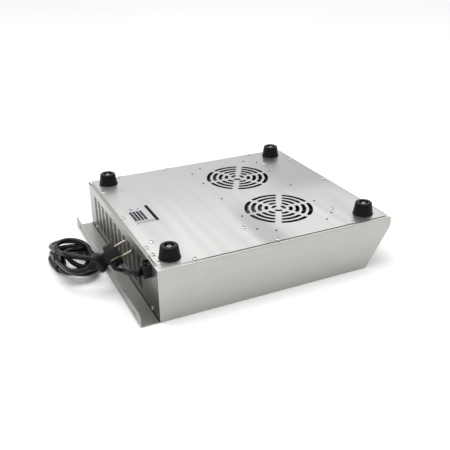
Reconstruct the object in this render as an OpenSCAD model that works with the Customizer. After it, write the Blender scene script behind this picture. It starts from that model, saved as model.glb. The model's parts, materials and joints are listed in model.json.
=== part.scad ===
// Countertop induction cooker, lying upside down on its glass.
// Origin: centre of the footprint on the glass side. +Z points from the glass to the base plate and
// its feet, the control fascia is on the -Y side and the rear panel with the mains cord is on +Y.
// "Left" is -X. Millimetres.

/* [Body] */
// Width of the housing
body_w = 360; // [356:1:372]
// Depth from the nose to the rear panel
body_d = 390; // [388:1:398]
// Height from the glass to the base plate's outer face
body_h = 83; // [81:1:88]
// Height of the vertical nose above the control slope
nose_h = 17; // [14:1:20]
// How far the control slope runs back between the nose and the glass side
slope_run = 41; // [36:1:44]
// Thickness of the housing sheet
sheet = 1; // [0.8:0.1:1.2]
// How far the base plate stops short of the housing's outer faces
plate_inset = 5; // [4:0.5:6]

/* [Rear flange] */
// Depth of the wall-spacing flange behind the rear panel
flange_d = 29; // [26:1:34]
// Height of its upturned lip
lip_h = 20; // [16:1:24]
// Distance between the two fixing holes in the lip
lip_hole_spacing = 306; // [296:1:312]
// Diameter of the fixing holes
lip_hole_d = 8; // [4:0.5:9]

/* [Ventilation] */
// Distance of each fan from the centre line
fan_x = 75; // [73:0.5:77]
// Position of both fans along the depth
fan_y = -66; // [-68:0.5:-64]
// Outer radius of the grille
grille_r = 55.5; // [50:0.5:57]
// Width of the grille's ring slots
grille_slot = 6.4; // [4.5:0.1:6.8]
// Number of slot columns in the rear panel
vent_columns = 11; // [9:1:11]
// Number of slot rows in the rear panel
vent_rows = 11; // [8:1:11]

/* [Glass] */
// Side of the square ceramic glass
glass_w = 320; // [310:1:322]
// Thickness of the glass
glass_t = 4; // [4:0.5:5]

/* [Feet] */
// Radius of a foot where it meets the base plate
foot_r = 16.2; // [14:0.1:17]
// Radius of a foot at its free end
foot_top_r = 12.8; // [11:0.1:13.5]
// Height of a foot
foot_h = 19.5; // [15:0.5:25]

/* [Controls] */
// Radius of the power knob
knob_r = 16; // [14:0.5:18]
// Height of the power knob
knob_h = 14; // [12:0.5:15]
// Radius of a push button
button_r = 6; // [5:0.5:7]
// Travel of a push button
button_travel = 1.5; // [1:0.1:1.6]

/* [Mains cord] */
// Diameter of the mains cord
cord_d = 8; // [7:0.5:8.5]
// Diameter of the plug's face
plug_d = 37; // [35:0.5:39]

/* [Hidden] */
$fn = 48;

// Gap that keeps neighbouring solids apart, and the overshoot of cutting tools
gap = 0.3;
cut = 1;

// Housing faces
half_w = body_w / 2;
rear_y = body_d - (body_d + flange_d) / 2;
nose_y = rear_y - body_d;
flange_y = rear_y + flange_d;
shell_h = body_h - sheet;
nose_z = body_h - nose_h;
glass_front_y = nose_y + slope_run;
frame_centre_y = (glass_front_y + rear_y) / 2;
fold_in = 14;
bend_r = 2;
fold_z = shell_h - sheet;

// Screws round the base plate: [x, y]
edge_x = half_w - 8.5;
edge_front_y = nose_y + 9.9;
edge_rear_y = rear_y - 8.5;
perimeter = [
    [-edge_x, 122], [-edge_x, -10], [-edge_x, -141], [edge_x, 124], [edge_x, 34], [edge_x, -138],
    [-114, edge_front_y], [0, edge_front_y], [114, edge_front_y],
    [-111, edge_rear_y], [0, edge_rear_y], [114, edge_rear_y],
    [-134, edge_rear_y - 1], [-160, edge_rear_y - 0.5]
];
screw_head_r = 4;
screw_head_h = 2;
screw_shank_r = 1.9;
screw_hole_r = 2.1;

// Posts that carry the coil tray, and the screws that hold them
supports = [[118, 19], [-114, 18], [-114, -142], [114, -142], [115, 140]];
support_r = 4;
earth_pos = [-96, 159];

// Fan duct: outer size, flange and its rivets
duct_x = 148;
duct_front_y = -137;
duct_rear_y = 4.5;
duct_h = 30;
duct_lip = 8;
rivet_x = 144.4;
duct_rivet_pos = concat(
    [for (x = [-127, -76, 0, 76, 127], y = [0.5, -133]) [x, y]],
    [for (x = [-rivet_x, rivet_x], y = [-22.7, -113]) [x, y]]
);
rivet_r = 1.6;

// Fans
fan_side = 119;
fan_t = 25;
fan_z = fold_z - fan_t;
fan_hub_r = 19;
fan_blade_r = 54;
fan_blades = 7;
fan_shaft_r = 1.5;
fan_bearing_r = 4;
fan_hole = 52.5;

// Ring slots of a grille: outermost first, each ring is one pitch further in
grille_pitch = 10.75;
grille_rings = 5;
grille_spokes = 6;
spoke_w = 5.2;
wide_spoke_w = 8.5;

// Feet: [x, y]
foot_x = 151;
foot_rear_y = 151.6;
foot_front_y = -176;
foot_recess_r = 7;
foot_recess_depth = 5;

// Rear panel slots
vent_l = 16.5;
vent_h = 3.1;
vent_pitch_x = 23.7;
vent_pitch_z = 4.87;
vent_first_x = 139.8;
vent_top_z = 64.6;

// Coil, from the glass towards the base plate
mica_t = 1;
mica_z = glass_t;
coil_z = 8;
coil_wire_d = 4.2;
coil_inner_r = 26;
coil_turns = 20;
coil_pitch = 3.9;
carrier_z = coil_z + coil_wire_d;
carrier_t = 3;
carrier_r = 108;
ferrite_z = carrier_z + carrier_t;
ferrite_t = 5;
tray_z = ferrite_z + ferrite_t;
tray_t = 1.2;
support_z = tray_z + tray_t;

// Power board, hung below the base plate on standoffs
board_t = 1.6;
standoff_h = 8;
board_z = fold_z - standoff_h - board_t;
board_x0 = -106;
board_x1 = 106;
board_y0 = 28;
board_y1 = 136;

// Control slope: an outward-facing plane with its own centre, +Z outwards and +Y towards the nose
slope_l = norm([slope_run, nose_z]);
slope_tilt = 90 + atan2(slope_run, nose_z);
slope_mid = [0, (nose_y + glass_front_y) / 2, nose_z / 2];
knob_x = -100;
button_x = [62, 86, 110];
button_foot = -4.6;
button_face = 2;
display_x = 4;
display_w = 60;
display_d = 24;
panel_board_z = -14;
panel_board_t = 1.6;
pot_r = 8.5;
pot_bush_r = 4.5;
knob_shaft_r = 3;
knob_cavity_r = 8;
knob_flutes = 12;

// Cable gland on the rear panel
gland_x = -144.5;
gland_z = 69.5;
gland_w = 25;
gland_block = [19, 14, 19];
gland_outlet = [-142, 196.5, 64.5];
outlet_turn = -40;
outlet_l = 7;
outlet_r = 4.9;

// Mains cord, from the gland to the hank and from the hank to the plug
cord_route = [
    [-142, 196.5, 64.5], [-135.5, 202.5, 63], [-127, 206.5, 60], [-117, 208, 56], [-105, 208.3, 51],
    [-92, 208, 45], [-78, 207, 38.5], [-63, 208, 36], [-50, 208.5, 36], [-39, 213, 36.5], [-30, 221, 37],
    [-23, 232, 37]
];
lead_route = [
    [-61, 244, 44], [-60, 250.5, 41], [-57, 258, 38.5], [-51, 265, 36.5], [-43, 270, 35], [-34, 273, 33.5],
    [-25, 275, 32]
];
hank_a = [-4, 253];
hank_b = [56, 253];
hank_r = 33.5;
hank_h = 40;
hank_z = 1;
tie_x = 24;
tie_w = 5;
tie_t = 0.9;
cord_sides = 10;

// Plug: centre of its face, and the turn that takes +Z to the pins' direction
plug_at = [-70, 203.5, 64];
plug_turn = [-9, 64, -112];
collar_h = 15;
grip_l = 20;
pin_r = 2.4;
pin_l = 19;
pin_spacing = 19;
pin_root = 8;
clip_w = 2.4;
boot_l = 12;

// Unit vector, and left-hand normal of a line in a plane
function unit(v) = v / norm(v);
function normal(a, b) = let (d = unit(b - a)) [-d[1], d[0]];

// Points of an arc of radius r that rounds the corner b between a and c
function corner_arc(a, b, c, r, steps = 5) =
    r <= 0.01 ? [b] :
    let (u = unit(a - b), w = unit(c - b), half = acos(u * w) / 2,
        centre = b + unit(u + w) * r / sin(half),
        from = b + u * r / tan(half) - centre,
        to = b + w * r / tan(half) - centre,
        start = atan2(from[1], from[0]),
        turn = atan2(from[0] * to[1] - from[1] * to[0], from * to))
    [for (i = [0 : steps]) centre + r * [cos(start + turn * i / steps), sin(start + turn * i / steps)]];

// Closed outline with every corner rounded by its own radius
function rounded(pts, radii) = let (n = len(pts))
    [for (i = [0 : n - 1]) each corner_arc(pts[(i + n - 1) % n], pts[i], pts[(i + 1) % n], radii[i])];

// Rectangle about the origin with rounded corners
function slab(w, d, r) = rounded([[-w, -d] / 2, [w, -d] / 2, [w, d] / 2, [-w, d] / 2], [r, r, r, r]);

// Open path with its inner corners rounded
function round_path(pts, r) = let (n = len(pts))
    [pts[0], for (i = [1 : n - 2]) each corner_arc(pts[i - 1], pts[i], pts[i + 1], r), pts[n - 1]];

// Path moved sideways by t, to the left of its direction
function shifted(pts, t) = let (n = len(pts))
    concat([pts[0] + t * normal(pts[0], pts[1])],
        [for (i = [1 : n - 2]) let (p = normal(pts[i - 1], pts[i]), q = normal(pts[i], pts[i + 1]))
            pts[i] + t * (p + q) / (1 + p * q)],
        [pts[n - 1] + t * normal(pts[n - 2], pts[n - 1])]);

function reversed(pts) = [for (i = [len(pts) - 1 : -1 : 0]) pts[i]];

// Outline of a bent sheet: the path is its outer face, t its thickness to the left
function bent(pts, t, r) = concat(round_path(pts, r), reversed(round_path(shifted(pts, t), r - t)));

// Smooth curve through route points, and a tube swept along it
function smooth(p, t) = 0.5 * (2 * p[1] + (p[2] - p[0]) * t
    + (2 * p[0] - 5 * p[1] + 4 * p[2] - p[3]) * t * t + (3 * p[1] - p[0] - 3 * p[2] + p[3]) * t * t * t);
function curve(pts, steps) = let (n = len(pts))
    concat([for (i = [0 : n - 2], j = [0 : steps - 1])
        smooth([pts[max(i - 1, 0)], pts[i], pts[i + 1], pts[min(i + 2, n - 1)]], j / steps)], [pts[n - 1]]);
function ring(at, along, r, sides) =
    let (side = unit(cross(along, [0, 0, 1])), up = cross(side, along))
    [for (i = [0 : sides - 1]) at + r * (cos(360 * i / sides) * side + sin(360 * i / sides) * up)];

module tube(route, d, sides, steps) {
    line = curve(route, steps);
    last = len(line) - 1;
    rings = [for (i = [0 : last])
        each ring(line[i], unit(line[min(i + 1, last)] - line[max(i - 1, 0)]), d / 2, sides)];
    walls = [for (i = [0 : last - 1], j = [0 : sides - 1])
        let (a = i * sides + j, b = i * sides + (j + 1) % sides) [a, b, b + sides, a + sides]];
    polyhedron(rings, concat(walls, [[for (j = [sides - 1 : -1 : 0]) j]],
        [[for (j = [0 : sides - 1]) last * sides + j]]));
}

// Solid between two X values with a (y, z) outline
module across(x0, x1, pts) {
    translate([x0, 0, 0])
        rotate([90, 0, 90])
            linear_extrude(x1 - x0)
                polygon(pts);
}

// Box from its low corner to its high corner
module block(low, high) {
    translate(low)
        cube(high - low);
}

// Places children in the control slope's own frame
module on_slope() {
    translate(slope_mid)
        rotate([slope_tilt, 0, 0])
            children();
}

module in_plug() {
    translate(plug_at)
        rotate(plug_turn)
            children();
}

// Pan-head screw: underside of the head at z = 0, shank downwards
module pan_screw(head_r, head_h, shank_r, shank_l) {
    difference() {
        union() {
            cylinder(r = head_r, h = head_h * 0.45);
            translate([0, 0, head_h * 0.45])
                cylinder(r1 = head_r, r2 = head_r * 0.62, h = head_h * 0.55);
        }
        for (a = [0, 90])
            rotate([0, 0, a + 20])
                translate([-head_r * 0.55, -head_r * 0.1, head_h * 0.5])
                    cube([head_r * 1.1, head_r * 0.2, head_h]);
    }
    translate([0, 0, -shank_l])
        cylinder(r = shank_r, h = shank_l + 0.1);
}

module at_each(points, z) {
    for (p = points)
        translate([p[0], p[1], z])
            children();
}

// Round end of such a slot, between its two corners
function slot_end(r, h, at, side) =
    [for (a = [30 : 30 : 150]) r * [cos(at), sin(at)] + h * [cos(at + side + a), sin(at + side + a)]];

// Outline of a slot of half-width h that follows a circle of radius r and has round ends
function arc_slot(r, h, from, to) =
    let (steps = ceil((to - from) * r / 300), turn = (to - from) / steps)
    concat(
        [for (i = [0 : steps]) (r + h) * [cos(from + i * turn), sin(from + i * turn)]],
        slot_end(r, h, to, 0),
        [for (i = [steps : -1 : 0]) (r - h) * [cos(from + i * turn), sin(from + i * turn)]],
        slot_end(r, h, from, 180)
    );

// Ring slots of one fan grille, as a cutting tool through the base plate
module grille_slots() {
    for (k = [0 : grille_rings - 1]) {
        r = grille_r - grille_slot / 2 - k * grille_pitch;
        arcs = k == grille_rings - 1 ? grille_spokes / 2 : grille_spokes;
        step = 360 / arcs;
        for (i = [0 : arcs - 1]) {
            wide = arcs == grille_spokes && (i == 1 || i == 4);
            wide_next = arcs == grille_spokes && (i == 0 || i == 3);
            lead = (wide ? wide_spoke_w : spoke_w) / 2 + grille_slot / 2;
            trail = (wide_next ? wide_spoke_w : spoke_w) / 2 + grille_slot / 2;
            from = 90 + i * step + asin(lead / r);
            to = 90 + (i + 1) * step - asin(trail / r);
            translate([0, 0, -cut])
                linear_extrude(sheet + 2 * cut)
                    polygon(arc_slot(r, grille_slot / 2, from, to));
        }
    }
}

module base_plate() {
    color("gainsboro")
        difference() {
            translate([0, (nose_y + rear_y) / 2, shell_h])
                linear_extrude(sheet)
                    polygon(slab(body_w - 2 * plate_inset, body_d - 2 * plate_inset, 3));
            for (s = [-1, 1])
                translate([s * fan_x, fan_y, shell_h])
                    grille_slots();
            at_each(concat(perimeter, supports, [earth_pos]), shell_h - cut)
                cylinder(r = screw_hole_r, h = sheet + 2 * cut);
            at_each(duct_rivet_pos, shell_h - cut)
                cylinder(r = rivet_r, h = sheet + 2 * cut);
            for (x = [-foot_x, foot_x], y = [foot_rear_y, foot_front_y])
                translate([x, y, shell_h - cut])
                    cylinder(r = screw_hole_r, h = sheet + 2 * cut);
        }
}

// Outline of a side, from the base corner round to the glass side
side_outline = rounded(
    [[nose_y, shell_h], [nose_y, nose_z], [glass_front_y, 0], [rear_y, 0], [rear_y, shell_h]],
    [3, 9, 9, 0, 2]);

// Side sheet on the right, with its fold under the base plate and no holes
module side_sheet() {
    section = [[half_w, 0], [half_w, shell_h], [half_w - fold_in, shell_h]];
    intersection() {
        translate([0, rear_y, 0])
            rotate([90, 0, 0])
                linear_extrude(body_d)
                    polygon(bent(section, sheet, bend_r));
        across(half_w - fold_in - cut, half_w + cut, side_outline);
    }
}

// Holes for the screws round the base plate, through the folds of the housing
module fold_holes() {
    at_each(perimeter, fold_z - cut)
        cylinder(r = screw_hole_r, h = sheet + 2 * cut);
}

module side_panel_left() {
    color("silver")
        difference() {
            mirror([1, 0, 0])
                side_sheet();
            fold_holes();
        }
}

module side_panel_right() {
    color("silver")
        difference() {
            side_sheet();
            fold_holes();
        }
}

// Space that the side panels' folds take at the ends of a cross fold
module fold_corners() {
    for (s = [-1, 1])
        translate([s * half_w, 0, shell_h])
            cube([2 * (fold_in + gap), body_d * 2, 2 * (bend_r + sheet)], center = true);
}

module front_fascia() {
    path = [[nose_y + fold_in, shell_h], [nose_y, shell_h], [nose_y, nose_z], [glass_front_y, 0]];
    color("silver")
        difference() {
            across(-half_w + sheet, half_w - sheet, bent(path, sheet, bend_r));
            fold_corners();
            fold_holes();
            on_slope() {
                translate([knob_x, 0, -2 * cut])
                    cylinder(r = pot_bush_r + 0.1, h = 3 * cut);
                for (x = button_x)
                    translate([x, 0, -2 * cut])
                        cylinder(r = button_r + gap, h = 3 * cut);
                translate([display_x, 0, -cut])
                    cube([display_w, display_d, 3 * cut], center = true);
            }
        }
}

module rear_panel() {
    path = [[rear_y, 0], [rear_y, shell_h], [rear_y - fold_in, shell_h]];
    color("silver")
        difference() {
            across(-half_w + sheet, half_w - sheet, bent(path, sheet, bend_r));
            fold_corners();
            fold_holes();
            for (i = [0 : vent_columns - 1], j = [0 : vent_rows - 1])
                translate([vent_first_x - i * vent_pitch_x, rear_y + cut, vent_top_z - j * vent_pitch_z])
                    rotate([90, 0, 0])
                        linear_extrude(sheet + 2 * cut)
                            vent_slot();
            translate([gland_x, rear_y + cut, gland_z])
                rotate([90, 0, 0])
                    cylinder(r = 7.2, h = sheet + 2 * cut);
        }
}

module vent_slot() {
    square([vent_l - vent_h, vent_h], center = true);
    for (s = [-1, 1])
        translate([s * (vent_l - vent_h) / 2, 0])
            circle(d = vent_h, $fn = 16);
}

// Steel frame round the glass, with a sunk ledge that the glass sits on
module top_frame() {
    seat = glass_w / 2 + gap + 0.5;
    color("silver")
        difference() {
            union() {
                block([-half_w + sheet, glass_front_y + 2, 0], [half_w - sheet, rear_y - sheet, 1.2]);
                translate([0, frame_centre_y, (glass_t + 1.2) / 2])
                    cube([2 * seat + 2.4, 2 * seat + 2.4, glass_t + 1.2], center = true);
            }
            translate([0, frame_centre_y, glass_t / 2 - cut])
                cube([2 * seat, 2 * seat, glass_t + 2 * cut], center = true);
            translate([0, frame_centre_y, glass_t])
                cube([2 * seat - 20, 2 * seat - 20, 2 * glass_t], center = true);
        }
}

module ceramic_glass() {
    color([0.05, 0.05, 0.06])
        translate([0, frame_centre_y, 0])
            linear_extrude(glass_t)
                polygon(slab(glass_w, glass_w, 4));
}

module glass_seal() {
    color([0.12, 0.12, 0.12])
        translate([0, frame_centre_y, 0.4])
            linear_extrude(glass_t - 0.4)
                difference() {
                    square(glass_w + 2 * (gap + 0.5), center = true);
                    polygon(slab(glass_w, glass_w, 4));
                }
}

// Angle behind the rear panel: a web level with the frame and an upturned lip
module rear_flange() {
    chamfer = 6;
    path = [[rear_y, 0], [flange_y, 0], [flange_y, lip_h]];
    color("silver")
        difference() {
            across(-half_w, half_w, bent(path, sheet, bend_r));
            for (s = [-1, 1]) {
                translate([s * lip_hole_spacing / 2, flange_y + cut, 8])
                    rotate([90, 0, 0])
                        cylinder(d = lip_hole_d, h = sheet + 2 * cut);
                translate([s * half_w, flange_y, lip_h])
                    rotate([0, 45, 0])
                        cube([chamfer * sqrt(2), 3 * flange_d / 4, chamfer * sqrt(2)], center = true);
            }
        }
}

module rating_label() {
    color("gainsboro")
        block([-32, 121, body_h], [34, 160, body_h + 0.2]);
}

module foot(x, y) {
    color([0.07, 0.07, 0.07])
        translate([x, y, body_h])
            rotate_extrude()
                polygon([[screw_hole_r, 0], [foot_r - 0.8, 0], [foot_r, 0.8], [foot_r, 2.5],
                    [foot_top_r + 0.5, foot_h - 1.6], [foot_top_r, foot_h - 0.5], [foot_top_r - 0.8, foot_h],
                    [foot_recess_r + 0.6, foot_h], [foot_recess_r, foot_h - 0.6],
                    [foot_recess_r, foot_h - foot_recess_depth], [screw_hole_r, foot_h - foot_recess_depth]]);
}

module foot_rear_left() { foot(-foot_x, foot_rear_y); }
module foot_rear_right() { foot(foot_x, foot_rear_y); }
module foot_front_left() { foot(-foot_x, foot_front_y); }
module foot_front_right() { foot(foot_x, foot_front_y); }

// Screw and washer in each foot, with the nut inside the base plate
module foot_screws() {
    seat = body_h + foot_h - foot_recess_depth;
    color("silver")
        for (x = [-foot_x, foot_x], y = [foot_rear_y, foot_front_y])
            translate([x, y, seat]) {
                difference() {
                    cylinder(r = foot_recess_r - gap, h = 1);
                    translate([0, 0, -cut])
                        cylinder(r = screw_hole_r, h = 3 * cut);
                }
                translate([0, 0, 1])
                    pan_screw(screw_head_r, 3, screw_shank_r, foot_h - foot_recess_depth + 7);
                translate([0, 0, -(foot_h - foot_recess_depth) - sheet - 3])
                    difference() {
                        cylinder(r = 4, h = 3, $fn = 6);
                        translate([0, 0, -cut])
                            cylinder(r = screw_shank_r, h = 3 + 2 * cut);
                    }
            }
}

module perimeter_screws() {
    color("lightgray")
        at_each(perimeter, body_h)
            pan_screw(screw_head_r, screw_head_h, screw_shank_r, 7);
}

module support_screws() {
    color("lightgray")
        at_each(supports, body_h)
            pan_screw(screw_head_r, screw_head_h, screw_shank_r, 9);
}

module duct_rivets() {
    color("dimgray")
        at_each(duct_rivet_pos, fold_z - 2) {
            cylinder(r = rivet_r, h = sheet * 2 + 2);
            translate([0, 0, 2 * sheet + 2])
                cylinder(r1 = rivet_r + 0.4, r2 = rivet_r - 0.2, h = 0.6);
        }
}

module earth_screw() {
    color("darkseagreen")
        translate([earth_pos[0], earth_pos[1], body_h])
            pan_screw(screw_head_r, screw_head_h, screw_shank_r, 10);
}

// Axial fan housing: square frame, four struts and the hub that holds the bearing
module fan_frame() {
    difference() {
        union() {
            difference() {
                linear_extrude(fan_t)
                    polygon(slab(fan_side, fan_side, 4));
                translate([0, 0, -cut])
                    cylinder(r = fan_blade_r + 2, h = fan_t + 2 * cut, $fn = 96);
            }
            cylinder(r = fan_hub_r, h = 3);
            cylinder(r = fan_bearing_r + 2, h = 14);
            for (a = [45 : 90 : 315])
                rotate([0, 0, a])
                    block([fan_hub_r - 1, -2, 0], [fan_blade_r + 3, 2, 3]);
        }
        translate([0, 0, -cut])
            cylinder(r = fan_bearing_r, h = 20);
        for (x = [-fan_hole, fan_hole], y = [-fan_hole, fan_hole])
            translate([x, y, -cut])
                cylinder(r = 2.2, h = fan_t + 2 * cut);
    }
}

// Impeller: cup-shaped hub with its shaft and pitched blades
module fan_impeller() {
    difference() {
        translate([0, 0, 4])
            cylinder(r = fan_hub_r, h = fan_t - 6);
        translate([0, 0, 3])
            cylinder(r = fan_hub_r - 2, h = fan_t - 8);
    }
    translate([0, 0, 2])
        cylinder(r = fan_shaft_r, h = fan_t - 5);
    intersection() {
        translate([0, 0, 4])
            difference() {
                cylinder(r = fan_blade_r, h = fan_t - 6, $fn = 96);
                translate([0, 0, -cut])
                    cylinder(r = fan_hub_r - 1, h = fan_t);
            }
        union()
            for (i = [0 : fan_blades - 1])
                rotate([0, 0, i * 360 / fan_blades])
                    translate([fan_blade_r / 2, 0, fan_t / 2 + 1])
                        rotate([-42, 0, 0])
                            cube([fan_blade_r * 1.2, 32, 1.6], center = true);
    }
}

module at_fan(side) {
    translate([side * fan_x, fan_y, fan_z])
        children();
}

module fan_frame_left() { color([0.1, 0.1, 0.11]) at_fan(-1) fan_frame(); }
module fan_frame_right() { color([0.1, 0.1, 0.11]) at_fan(1) fan_frame(); }
module fan_impeller_left() { color([0.15, 0.15, 0.16]) at_fan(-1) fan_impeller(); }
module fan_impeller_right() { color([0.15, 0.15, 0.16]) at_fan(1) fan_impeller(); }

module fan_bearings() {
    color("darkgoldenrod")
        for (s = [-1, 1])
            at_fan(s)
                translate([0, 0, 3])
                    difference() {
                        cylinder(r = fan_bearing_r, h = 10);
                        translate([0, 0, -cut])
                            cylinder(r = fan_shaft_r + 0.05, h = 12);
                    }
}

// Air duct round both fans: four walls and a riveted lip against the base plate
module fan_duct() {
    color("lightgray")
        difference() {
            block([-duct_x, duct_front_y, fold_z - duct_h], [duct_x, duct_rear_y, shell_h]);
            block([-duct_x + sheet, duct_front_y + sheet, fold_z - duct_h - cut],
                [duct_x - sheet, duct_rear_y - sheet, fold_z]);
            block([-duct_x + duct_lip, duct_front_y + duct_lip, fold_z - cut],
                [duct_x - duct_lip, duct_rear_y - duct_lip, shell_h + cut]);
            at_each(duct_rivet_pos, fold_z - cut)
                cylinder(r = rivet_r, h = sheet + 2 * cut);
        }
}

module coil_tray() {
    color("lightgray")
        difference() {
            block([-124, -150, tray_z], [126, 148, tray_z + tray_t]);
            translate([0, 0, tray_z - cut])
                cylinder(r = 14, h = tray_t + 2 * cut);
            at_each(supports, tray_z - cut)
                cylinder(r = screw_hole_r, h = tray_t + 2 * cut);
        }
}

module coil_supports() {
    color("silver")
        at_each(supports, support_z)
            difference() {
                cylinder(r = support_r, h = shell_h - support_z);
                translate([0, 0, shell_h - support_z - 12])
                    cylinder(r = screw_shank_r, h = 12 + cut);
            }
}

module ferrite_bars() {
    color([0.2, 0.2, 0.22])
        for (a = [0 : 45 : 315])
            rotate([0, 0, a])
                block([28, -7, ferrite_z], [98, 7, tray_z]);
}

module coil_carrier() {
    color([0.85, 0.82, 0.72])
        translate([0, 0, carrier_z])
            difference() {
                cylinder(r = carrier_r, h = carrier_t, $fn = 96);
                translate([0, 0, -cut])
                    cylinder(r = 16, h = carrier_t + 2 * cut);
                for (a = [22.5 : 45 : 337.5])
                    rotate([0, 0, a])
                        translate([70, 0, -cut])
                            cylinder(r = 10, h = carrier_t + 2 * cut);
            }
}

// Flat winding, drawn as turns that touch one another
module coil_winding() {
    color("peru")
        translate([0, 0, coil_z + coil_wire_d / 2])
            rotate_extrude($fn = 96)
                for (i = [0 : coil_turns - 1])
                    translate([coil_inner_r + i * coil_pitch, 0])
                        circle(d = coil_wire_d, $fn = 24);
}

module mica_sheet() {
    color([0.8, 0.72, 0.55])
        translate([0, 0, mica_z])
            difference() {
                cylinder(r = 115, h = mica_t, $fn = 96);
                translate([0, 0, -cut])
                    cylinder(r = 9, h = mica_t + 2 * cut);
            }
}

module temperature_sensor() {
    color("white")
        translate([0, 0, mica_z]) {
            cylinder(r = 7, h = 9);
            translate([0, 0, 9])
                cylinder(r = 3, h = 14);
        }
}

module power_board() {
    color([0.1, 0.35, 0.15])
        difference() {
            block([board_x0, board_y0, board_z], [board_x1, board_y1, board_z + board_t]);
            for (x = [board_x0 + 7, board_x1 - 7], y = [board_y0 + 7, board_y1 - 7])
                translate([x, y, board_z - cut])
                    cylinder(r = 2, h = board_t + 2 * cut);
        }
}

module board_standoffs() {
    color("whitesmoke")
        for (x = [board_x0 + 7, board_x1 - 7], y = [board_y0 + 7, board_y1 - 7])
            translate([x, y, board_z - 1.5]) {
                cylinder(r = 2, h = board_t + 1.6);
                translate([0, 0, board_t + 1.5])
                    cylinder(r = 4, h = shell_h - board_z - board_t);
            }
}

// Finned heat sink, fins towards the glass
module heat_sink() {
    fins = 12;
    wide = 96;
    pitch = (wide - 2) / (fins - 1);
    color("gainsboro")
        translate([-wide / 2, 44, board_z - 44])
            rotate([90, 0, 0])
                translate([0, 0, -54])
                    linear_extrude(54) {
                        translate([0, 38])
                            square([wide, 6]);
                        for (i = [0 : fins - 1])
                            translate([i * pitch, 0])
                                square([2, 39]);
                    }
}

module power_semiconductors() {
    color([0.12, 0.12, 0.12])
        for (x = [-34, -11, 11, 34])
            block([x - 8, 38.6, board_z - 26], [x + 8, 43.6, board_z]);
}

module power_capacitors() {
    color("cornflowerblue") {
        for (y = [52, 80])
            block([58, y, board_z - 28], [98, y + 20, board_z]);
        translate([-80, 112, board_z - 24])
            cylinder(r = 11, h = 24);
        block([54, 106, board_z - 18], [84, 118, board_z]);
    }
}

module filter_choke() {
    color("peru")
        translate([-78, 66, board_z - 9])
            rotate_extrude()
                translate([15, 0])
                    circle(r = 8.5);
}

module terminal_block() {
    color([0.9, 0.88, 0.8])
        difference() {
            block([-146, 138, shell_h - 20], [-108, 154, shell_h]);
            for (x = [-139.5, -127, -114.5])
                translate([x, 146, shell_h - 20 - cut])
                    cylinder(r = 2.5, h = 8);
        }
}

// Wires inside the housing: mains to the terminals, terminals to the board, board to the controls
module inner_leads() {
    color([0.1, 0.1, 0.1])
        tube([[-144.5, 178, 69.5], [-143.5, 171, 70], [-139, 162, 71], [-133, 154.1, 72]], 7, 8, 3);
    color("firebrick")
        tube([[-107.8, 146, 72], [-103, 145, 69.5], [-97, 141, 67.5], [-92.5, 134, 68], [-92, 127, 71.3]], 3, 8, 3);
    color("gray")
        tube([[112, 60, 66], [130, 50, 60], [156, 20, 52], [160, -60, 48], [156, -130, 44], [140, -160, 42],
            [122, -170, 40]], 4, 8, 4);
}

module control_overlay() {
    color([0.06, 0.06, 0.07])
        on_slope()
            difference() {
                translate([42, 0, 0])
                    linear_extrude(0.3)
                        polygon(slab(168, 44, 4));
                for (x = button_x)
                    translate([x, 0, -cut])
                        cylinder(r = button_r + gap, h = 3 * cut);
                translate([display_x, 0, 0])
                    cube([display_w, display_d, 3 * cut], center = true);
            }
}

module display_lens() {
    color([0.25, 0.03, 0.03])
        on_slope()
            translate([display_x, 0, -0.6])
                cube([display_w - 0.4, display_d - 0.4, 2], center = true);
}

module display_module() {
    color([0.1, 0.1, 0.1])
        on_slope()
            block([display_x - 26, -10, panel_board_z + panel_board_t], [display_x + 26, 10, -2]);
}

module control_board() {
    color([0.1, 0.35, 0.15])
        on_slope()
            block([knob_x - 18, -24, panel_board_z], [128, 24, panel_board_z + panel_board_t]);
}

module button_switches() {
    top = panel_board_z + panel_board_t;
    color([0.15, 0.15, 0.15])
        on_slope()
            for (x = button_x)
                translate([x, 0, top]) {
                    translate([-6, -6, 0])
                        cube([12, 12, 4]);
                    cylinder(r = 1.7, h = button_foot - button_travel - gap - top);
                }
}

module potentiometer() {
    top = panel_board_z + panel_board_t;
    color("silver")
        on_slope()
            translate([knob_x, 0, 0])
                difference() {
                    union() {
                        translate([0, 0, top])
                            cylinder(r = pot_r, h = -top - sheet - 0.1);
                        translate([0, 0, -sheet - 1])
                            cylinder(r = pot_bush_r, h = sheet + 5);
                        translate([0, 0, 0.1])
                            cylinder(r = 6.5, h = 2.2, $fn = 6);
                    }
                    translate([0, 0, top + 2])
                        cylinder(r = knob_shaft_r + 0.05, h = 20);
                }
}

module knob_shaft() {
    color("silver")
        on_slope()
            translate([knob_x, 0, panel_board_z + panel_board_t + 2.4])
                cylinder(r = knob_shaft_r, h = knob_h + 8);
}

// Hollow knob with a grip of shallow flutes and a pointer line
module control_knob() {
    color([0.08, 0.08, 0.08])
        on_slope()
            translate([knob_x, 0, 0.6])
                difference() {
                    union() {
                        cylinder(r = knob_r, h = 3);
                        cylinder(r = knob_r - 2, h = knob_h - 1);
                        translate([0, 0, knob_h - 1])
                            cylinder(r1 = knob_r - 2, r2 = knob_r - 3, h = 1);
                    }
                    translate([0, 0, -cut])
                        cylinder(r = knob_cavity_r, h = 5.6 + cut);
                    cylinder(r = knob_shaft_r, h = knob_h - 2.6);
                    for (i = [0 : knob_flutes - 1])
                        rotate([0, 0, (i + 0.5) * 360 / knob_flutes])
                            translate([knob_r - 1, 0, 3.5])
                                cylinder(r = 1.8, h = knob_h, $fn = 24);
                    translate([-0.6, knob_r / 3, knob_h - 0.5])
                        cube([1.2, knob_r, 2]);
                }
}

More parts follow.
